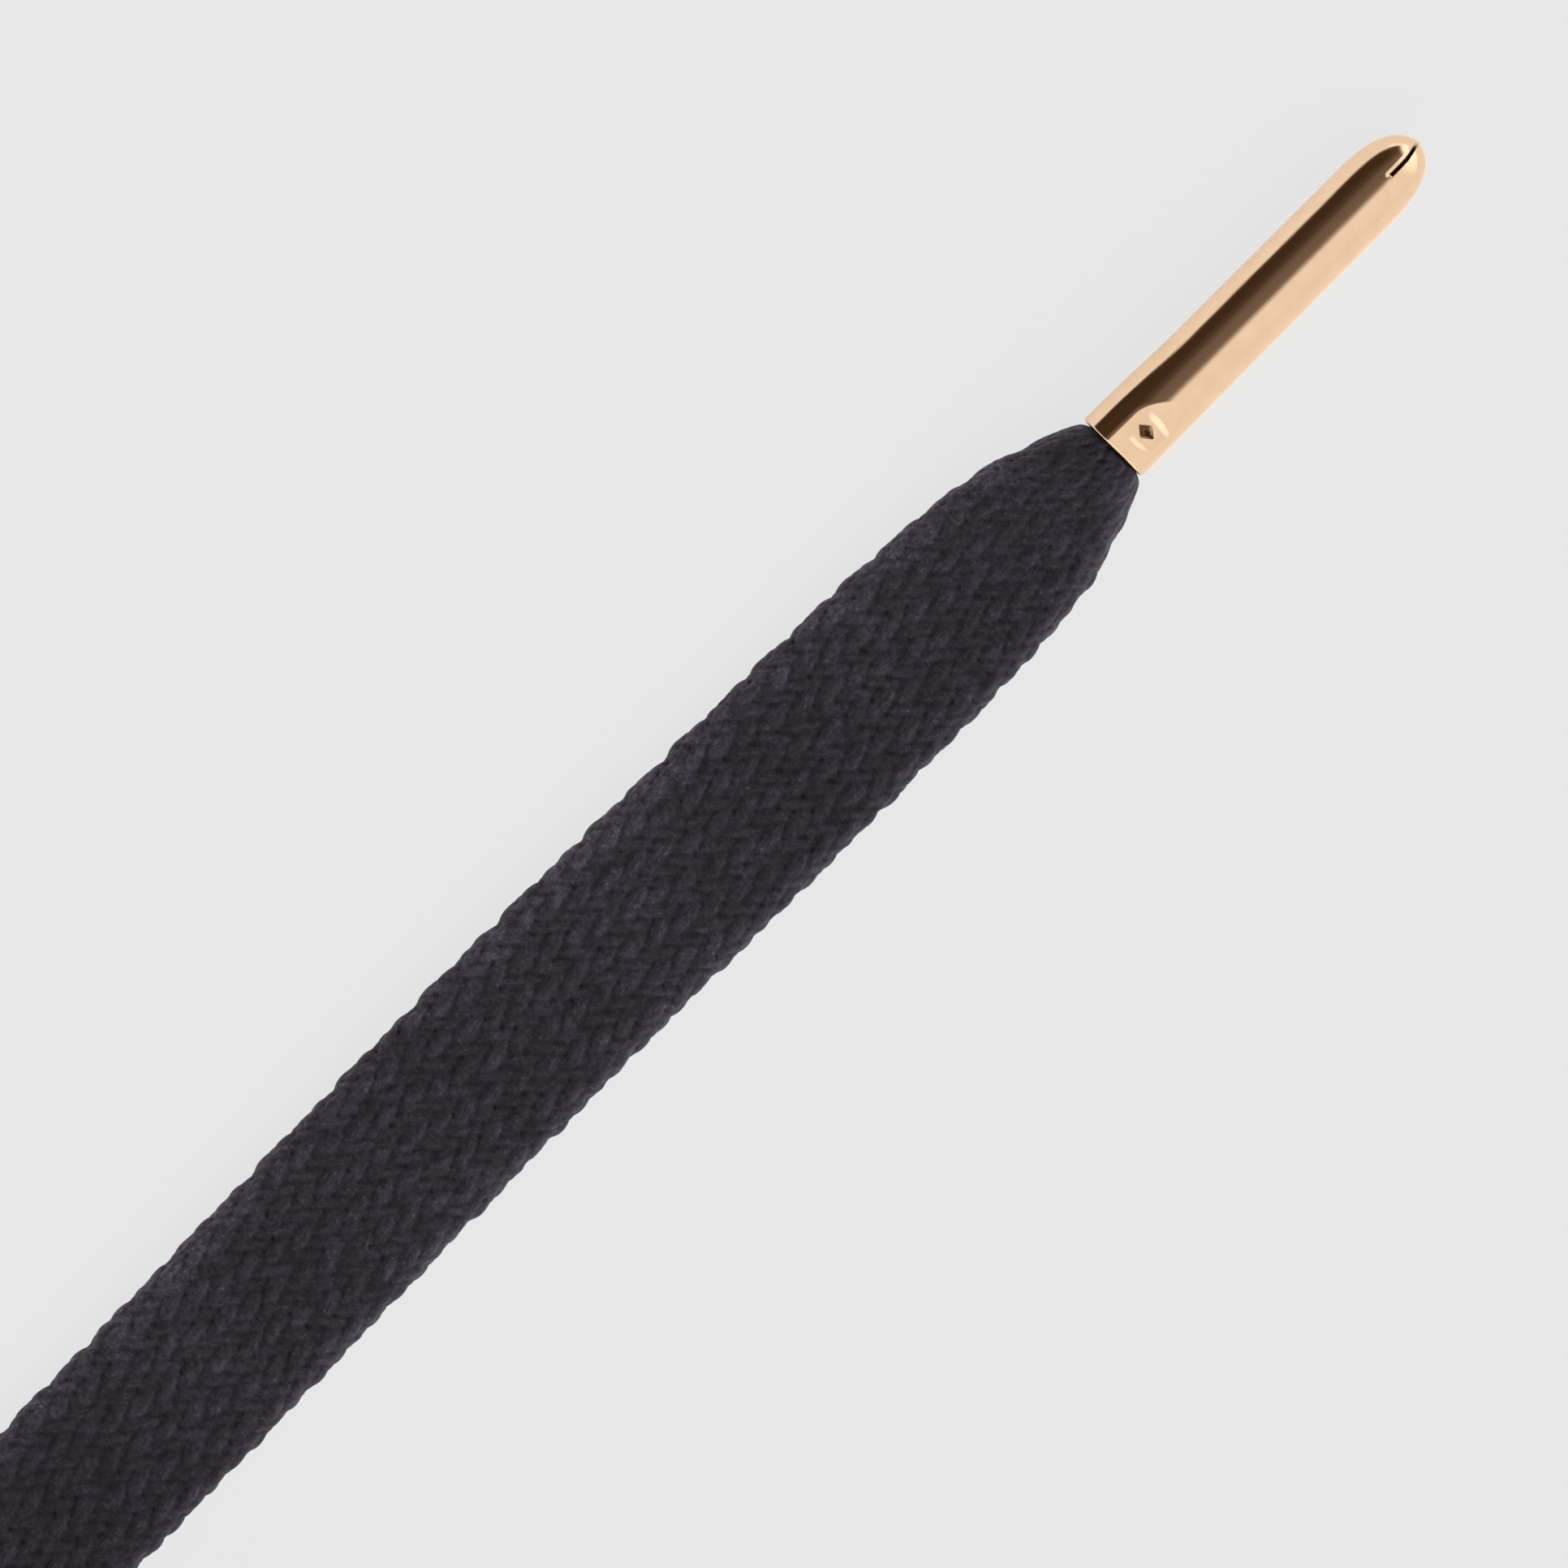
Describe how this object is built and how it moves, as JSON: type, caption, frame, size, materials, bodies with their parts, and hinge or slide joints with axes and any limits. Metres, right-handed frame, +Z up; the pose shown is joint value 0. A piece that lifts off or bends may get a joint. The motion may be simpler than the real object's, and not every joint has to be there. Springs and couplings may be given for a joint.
{
  "type": "flat braided lace with metal tips",
  "caption": "Flat tubular braided lace with a crimped bullet-nosed metal tip on each end; one end lies straight and the rest is folded in a tied hank. It threads through eyelets and ties.",
  "frame": {"origin": "centre of the front metal tip's mouth, on the tip's axis", "axes": "+X out of the front tip's nose, along the straight lace; +Z up, normal to the lace's flat face where it lies straight; +Y across the lace, away from the hank. The surface that it lies on is at z = -0.0021 m"},
  "size_m": [0.2711, 0.072, 0.01],
  "materials": {
    "tip_metal": "polished, pale rose-gold plating",
    "lace": "matte two-over-two braid of dark aubergine-charcoal yarn",
    "tie": "plain uncoated paper band"
  },
  "bodies": {
    "root": {"front_aglet": "tip_metal", "front_lace_end": "lace", "lace_run": "lace", "lace_hank": "lace", "lace_tail": "lace", "rear_lace_end": "lace", "rear_aglet": "tip_metal", "hank_tie": "tie"}
  },
  "joints": []
}
